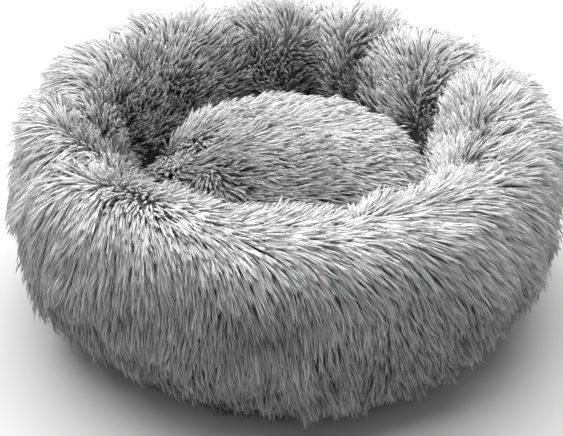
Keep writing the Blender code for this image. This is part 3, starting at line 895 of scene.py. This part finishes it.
def under_cloth_grid(inset):
    """The cushion's underside: rows from the gathered seam down to near its middle."""
    x, z = power_section(CUSHION_RADIUS - inset, CUSHION_SEAM - CUSHION_BOTTOM - inset,
                         CUSHION_BOTTOM_ROUNDNESS, np.linspace(0, -math.pi / 2, 1500))
    r, level = evenly(x, z, UNDER_ROWS, last_gap=CUSHION_MIDDLE)
    theta = angles(UNDER_COLUMNS)
    r, level = r[:, None], level[:, None] + CUSHION_SEAM - UNDER_SEAM_GAP
    share = np.linspace(0, 1, UNDER_ROWS)[:, None]
    flat_spot = turned(r, theta, level)
    pleat = np.sin(GATHERS * theta + 1.5 * smooth_noise(flat_spot, 80 * MM, 61))
    fade = smooth_step(share * 9) * np.exp(-share * 5.0)
    crumple = (smooth_noise(flat_spot, 28 * MM, 62) * smooth_step(share * 5)
               * smooth_step((1 - share) * 4))
    draw = (GATHER_DEPTH * fade * (1 - pleat)
            + CRUMPLE_DEPTH * (1 + crumple) * smooth_step(share * 8))
    along = np.gradient(np.stack([r[:, 0], level[:, 0]], -1), axis=0)
    normal = unit(np.stack([-along[:, 1], along[:, 0]], -1))[:, None, :]
    r = r - normal[..., 0] * draw
    level = level - normal[..., 1] * draw
    return turned(r, theta, np.maximum(level, CUSHION_BOTTOM + inset))


# ---- stitches and cloth parts

def stitches(name, spots, ahead, up, length, thick, material):
    """One short closed thread lozenge per spot, lying along ahead."""
    side = np.cross(up, ahead)
    turns = TAU * np.arange(STITCH_SIDES) / STITCH_SIDES
    points, faces = [], []
    for spot, a, u, s in zip(spots, ahead, up, side):
        start = len(points)
        points.append(spot - a * length / 2)
        for place, size in STITCH_RINGS:
            for t in turns:
                points.append(spot + a * length * place
                              + (s * math.cos(t) + u * math.sin(t)) * thick / 2 * size)
        points.append(spot + a * length / 2)
        faces += grid_faces(len(STITCH_RINGS), STITCH_SIDES, start + 1)
        last = len(points) - 1
        faces += flipped(cone(start + 1, start, STITCH_SIDES))
        faces += cone(last - STITCH_SIDES, last, STITCH_SIDES)
    return mesh_piece(name, points, faces, material)


def ring_stitches(name, radius, level, pitch, length, thick, material):
    """Stitches round the underside."""
    count = int(TAU * radius / pitch)
    theta = TAU * np.arange(count) / count
    spots = turned(radius, theta, level)
    ahead = turned(1.0, theta + TAU / 4, 0.0)
    down = np.tile((0, 0, -1), (count, 1))
    return stitches(name, spots, ahead, down, length, thick, material)


def node_copy(name, node, material):
    """A closed copy of a CAD node's mesh in a new piece, to be given finer detail."""
    mesh = nodes[node].data.copy()
    mesh.name = name
    work = bmesh.new()
    work.from_mesh(mesh)
    bmesh.ops.remove_doubles(work, verts=work.verts, dist=0.01 * MM)
    bmesh.ops.dissolve_limit(work, angle_limit=math.radians(1), verts=work.verts, edges=work.edges)
    work.to_mesh(mesh)
    work.free()
    mesh.materials.clear()
    mesh.materials.append(material)
    return placed(name, mesh)


def bevelled(piece, width):
    """Round the piece's sharp edges for good."""
    rounding = piece.modifiers.new("rounding", "BEVEL")
    rounding.width = width
    rounding.segments = 2
    rounding.limit_method = "ANGLE"
    rounding.angle_limit = math.radians(40)
    graph = bpy.context.evaluated_depsgraph_get()
    piece.data = bpy.data.meshes.new_from_object(piece.evaluated_get(graph))
    piece.modifiers.clear()
    piece.data.shade_smooth()
    return piece


def dot_spots():
    """A triangular pattern inside the edge stitches, clear of the zip."""
    panel_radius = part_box("base_panel")[1].x
    front_tape, rear_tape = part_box("zip_tape_front"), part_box("zip_tape_rear")
    side_margin, end_margin = DOT_ZIP_MARGINS
    spots = []
    rows = int(panel_radius / DOT_ROW_PITCH)
    for i in range(-rows, rows + 1):
        y = i * DOT_ROW_PITCH
        for j in range(-rows - 2, rows + 3):
            x = (j + 0.5 * (i % 2)) * DOT_PITCH
            over_zip = (abs(x) < front_tape[1].x + side_margin
                        and front_tape[0].y - end_margin < y < rear_tape[1].y + end_margin)
            if math.hypot(x, y) < panel_radius - DOT_EDGE_MARGIN and not over_zip:
                spots.append((x, y))
    return spots


def build_grip_dots(looks):
    """Low moulded domes that the bed stands on."""
    levels = [(GRIP_DOT_HEIGHT + 0.2 * MM, 1.0), (GRIP_DOT_HEIGHT - 0.15 * MM, 0.95),
              (0.2 * MM, 0.72)]
    points, faces = [], []
    for x, y in dot_spots():
        start = len(points)
        for level, share in levels:
            for k in range(DOT_SIDES):
                t = TAU * k / DOT_SIDES
                points.append((x + DOT_RADIUS * share * math.cos(t),
                               y + DOT_RADIUS * share * math.sin(t), level))
        points.append((x, y, 0.0))
        last = len(points) - 1
        faces.append(tuple(range(start, start + DOT_SIDES)))
        faces += flipped(grid_faces(len(levels), DOT_SIDES, start)
                         + cone(last - DOT_SIDES, last, DOT_SIDES))
    dots = mesh_piece("base_grip_dots", points, faces, looks["rubber"])
    settle(dots, "bed", "base_panel")


def build_binding(looks):
    """A wrinkled tape folded round the seam, and its row of stitches."""
    low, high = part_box("base_binding")
    bound = (high.z - low.z) / 2
    centre = high.x - bound
    t = TAU * np.arange(BINDING_SIDES) / BINDING_SIDES
    theta = TAU * np.arange(BINDING_TURNS)[:, None] / BINDING_TURNS
    wrinkle = (0.10 * MM * np.sin(60 * theta + 3 * np.sin(t))
               + 0.06 * MM * np.sin(131 * theta + 2 * t))
    section = bound - BINDING_PADDING + wrinkle
    radius = centre + section * np.sign(np.cos(t)) * np.abs(np.cos(t)) ** 0.8
    level = (high.z + low.z) / 2 + section * np.sign(np.sin(t)) * np.abs(np.sin(t)) ** 0.8
    points = turned(radius, theta, level)
    quads = flipped(grid_faces(BINDING_TURNS, BINDING_SIDES))
    quads += belt(0, (BINDING_TURNS - 1) * BINDING_SIDES, BINDING_SIDES)
    faces = [quad[1:] + quad[:1] for quad in quads]  # turns the line along which each is split
    tape = mesh_piece("base_binding_tape", points.reshape(-1, 3), faces, looks["binding"])
    settle(tape, "bed", "base_binding")
    seam = ring_stitches("base_binding_stitches", centre - 0.8 * MM, low.z + 0.25 * MM,
                         3.2 * MM, 2.2 * MM, 0.45 * MM, looks["thread"])
    settle(seam, "bed", "base_binding")


def build_base(looks):
    panel = node_copy("base_cloth_panel", "base_panel", looks["base"])
    for vertex in panel.data.vertices:
        if vertex.co.z < MM:
            vertex.co.z = GRIP_DOT_HEIGHT
    settle(panel, "bed", "base_panel")
    build_grip_dots(looks)
    for k, inset in enumerate(EDGE_STITCH_INSETS):
        ring = ring_stitches("base_edge_stitches_%d" % (k + 1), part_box("base_panel")[1].x - inset,
                             GRIP_DOT_HEIGHT, 3.6 * MM, 2.6 * MM, 0.5 * MM, looks["thread"])
        settle(ring, "bed", "base_panel")
    build_binding(looks)


def build_nest_floor(looks):
    """Quilted lining: puffed between two crossing sets of stitched lines."""
    low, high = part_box("nest_floor")
    radius = high.x
    r = np.linspace(radius, 0.6 * MM, QUILT_RINGS)[:, None]
    theta = angles(QUILT_COLUMNS)
    x, y = r * np.cos(theta), r * np.sin(theta)
    u = np.abs(((x + y) / QUILT_PITCH + 0.5) % 1 - 0.5) * 2
    v = np.abs(((x - y) / QUILT_PITCH + 0.5) % 1 - 0.5) * 2
    pillow = (1 - (1 - u) ** 4) * (1 - (1 - v) ** 4)
    edge = smooth_step((radius - r) / QUILT_EDGE)
    puffed = high.z - low.z - QUILT_BACKING
    level = low.z + QUILT_BACKING + puffed * (0.35 + 0.65 * pillow * edge)
    top = np.stack([x, y, level], -1)
    under = np.stack([x, y, low.z + 0 * level], -1)
    quilt = shell_piece("nest_quilted_lining", top, under, looks["lining"], middle_hole=False)
    settle(quilt, "bed", "nest_floor")


def build_zip(looks):
    for side in ("front", "rear"):
        tape = bevelled(node_copy("zip_woven_tape_" + side, "zip_tape_" + side, looks["tape"]),
                        0.15 * MM)
        settle(tape, "bed", "zip_tape_" + side)
        low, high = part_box("zip_coil_" + side)
        wide, tall = (high.y - low.y) / 2, (high.z - low.z) / 2
        wire = COIL_WIRE / 2
        turns = int((high.x - low.x - COIL_WIRE) / COIL_PITCH)
        t = TAU * np.arange(turns * COIL_STEPS + 1) / COIL_STEPS
        spine = np.stack([low.x + wire + (high.x - low.x - COIL_WIRE) * t / t[-1],
                          (high.y + low.y) / 2 + (wide - wire) * np.cos(t),
                          (high.z + low.z) / 2 + (tall - wire) * np.sin(t)], -1)
        ahead = unit(np.gradient(spine, axis=0))
        first = unit(np.cross(ahead, (1, 0, 0)))
        second = np.cross(ahead, first)
        a = (TAU * np.arange(COIL_SIDES) / COIL_SIDES)[:, None]
        points = spine[:, None] + wire * (first[:, None] * np.cos(a) + second[:, None] * np.sin(a))
        coil = mesh_piece("zip_coil_wound_" + side, points.reshape(-1, 3),
                          tube_faces(len(spine), COIL_SIDES), looks["nylon"])
        settle(coil, "bed", "zip_coil_" + side)
    for name, node, body, bevel in ZIP_METAL_PARTS:
        part = bevelled(node_copy(name, node, looks["metal"]), bevel * MM)
        settle(part, body, node)


# ---- camera, lights and floor

def add_area_light(name, power, size, place, aim):
    lamp = bpy.data.lights.new(name, "AREA")
    lamp.energy = power
    lamp.size = size
    holder = placed(name, lamp)
    holder.location = place
    holder.rotation_euler = (Vector(aim) - Vector(place)).to_track_quat("-Z", "Y").to_euler()


def build_stage():
    low, high = cad_box
    middle = Vector((0, 0, (low[2] + high[2]) / 2))
    up = Vector((0, math.sin(CAMERA_ELEVATION), math.cos(CAMERA_ELEVATION)))
    back = Vector((0, -math.cos(CAMERA_ELEVATION), math.sin(CAMERA_ELEVATION)))
    aim = middle + up * CAMERA_AIM[1] + Vector((CAMERA_AIM[0], 0, 0))
    data = bpy.data.cameras.new("camera")
    data.lens = CAMERA_LENS
    data.clip_start = 10 * MM
    camera = placed("camera", data)
    camera.location = middle + back * CAMERA_DISTANCE
    camera.rotation_euler = (aim - camera.location).to_track_quat("-Z", "Y").to_euler()
    bpy.context.scene.camera = camera

    floor_mesh = bpy.data.meshes.new("floor")
    work = bmesh.new()
    bmesh.ops.create_grid(work, x_segments=1, y_segments=1, size=FLOOR_HALF_SIDE)
    work.to_mesh(floor_mesh)
    work.free()
    floor = placed("floor", floor_mesh)
    floor.location = (0, 0, -FLOOR_DROP)
    floor_mesh.materials.append(new_material("pale_floor", FLOOR_GREY, 0.9)[0])

    world = bpy.data.worlds.new("studio")
    bpy.context.scene.world = world
    world.use_nodes = True
    background = world.node_tree.nodes["Background"]
    background.inputs["Color"].default_value = (1, 1, 1, 1)
    background.inputs["Strength"].default_value = WORLD_STRENGTH
    for light in AREA_LIGHTS:
        add_area_light(*light)
    bpy.context.scene.view_settings.view_transform = "Standard"


# ---- main build

def build_rim(looks):
    grid = rim_grid(PILE_DEPTH)
    inner = rim_grid(PILE_DEPTH + BACKING_THICKNESS)
    theta = angles(RIM_COLUMNS)
    radius = np.hypot(grid[..., 0], grid[..., 1])
    lean = np.clip((section_centre(grid[..., 2]) - radius) / HALF_WIDTH, -1, 1)
    folds = crease_depth(theta, lean) / RIM_HELD_CREASE
    feet = np.clip(1 - (grid[..., 2] - RIM_FOOT) / RIM_HELD_HEIGHT, 0, 1)
    grid = puff(grid, "rim_sim", np.clip(np.maximum(folds, feet), 0, 1), RIM_PUFF)
    skin = shell_piece("rim_backing_cloth", grid, inner, looks["backing"], middle_hole=True)
    settle(skin, "bed", "rim_cover")
    rim_fur(grid, looks["rim_pile"])

    core = rim_grid(PILE_DEPTH + BACKING_THICKNESS + RIM_FIBRE_GAP)
    faces = grid_faces(RIM_ROWS, RIM_COLUMNS)
    faces += belt((RIM_ROWS - 1) * RIM_COLUMNS, 0, RIM_COLUMNS)
    fill = mesh_piece("rim_fibre", core.reshape(-1, 3), faces, looks["fibre"])
    settle(fill, "bed", "rim_fill")


def build_cushion(looks):
    grid = cushion_grid(PILE_DEPTH)
    inner = cushion_grid(PILE_DEPTH + BACKING_THICKNESS)
    hold = np.clip(1 - np.arange(CUSHION_ROWS) / CUSHION_HELD_ROWS, 0, 1)
    hold = hold[:, None] * np.ones((1, CUSHION_COLUMNS))
    grid = puff(grid, "cushion_sim", hold, CUSHION_PUFF)
    skin = shell_piece("cushion_backing_cloth", grid, inner, looks["backing"], middle_hole=False)
    settle(skin, "cushion", "cushion_top_cover")
    cushion_fur(grid, looks["cushion_pile"])

    under = under_cloth_grid(0)
    lining = under_cloth_grid(UNDER_THICKNESS)
    cloth = shell_piece("cushion_gathered_cloth", lining, under, looks["cushion_cloth"],
                        middle_hole=False)
    settle(cloth, "cushion", "cushion_bottom_cover")
    core = np.concatenate([cushion_grid(PILE_DEPTH + 2 * BACKING_THICKNESS)[::-1],
                           under_cloth_grid(UNDER_FIBRE_GAP)[:, ::UNDER_COLUMNS // CUSHION_COLUMNS]])
    faces = flipped(tube_faces(len(core), CUSHION_COLUMNS))
    fill = mesh_piece("cushion_fibre", core.reshape(-1, 3), faces, looks["fibre"])
    settle(fill, "cushion", "cushion_fill")


def all_looks():
    # pile colours from root to tip: the dark roots are painted shade among the strands; the first
    # list is for strands in painted shade, the second for strands in painted light
    deep = [(0.0, 0.02), (0.30, 0.11), (0.65, 0.29), (1.0, 0.48)]
    painted_light = [(0.0, 0.60), (0.30, 0.73), (0.65, 0.76), (1.0, 0.77)]
    return {
        "rim_pile": fur_material("rim_pile", deep, painted_light, 0.14),
        "cushion_pile": fur_material("cushion_pile", deep, painted_light, 0.14),
        # the backing's dark grey is partly its own colour and partly painted shade in the gaps
        # between the tufts
        "backing": speckled_material("pile_backing", 0.15, 0.25, 0.95, 400),
        "fibre": speckled_material("polyester_fibre", 0.60, 0.85, 1.0, 300),
        "cushion_cloth": cloth_material("brushed_cloth", 0.30, 0.44, 0.8 * MM, 0.9, 0.5),
        "lining": cloth_material("lining_weave", 0.28, 0.42, 0.7 * MM, 0.9, 0.5),
        "base": cloth_material("oxford_weave", 0.045, 0.12, 1.0 * MM, 0.75, 0.8),
        "binding": cloth_material("binding_weave", 0.10, 0.19, 0.6 * MM, 0.85, 0.5),
        "tape": cloth_material("zip_tape_weave", 0.07, 0.15, 0.4 * MM, 0.85, 0.6),
        "thread": speckled_material("sewing_thread", 0.22, 0.34, 0.6, 900),
        "rubber": speckled_material("grip_rubber", 0.035, 0.07, 0.55, 700),
        "nylon": speckled_material("coil_nylon", 0.05, 0.09, 0.4, 900),
        "metal": metal_material("plated_zip_metal"),
    }


build_stage()
looks = all_looks()
build_rim(looks)
build_cushion(looks)
build_nest_floor(looks)
build_base(looks)
build_zip(looks)
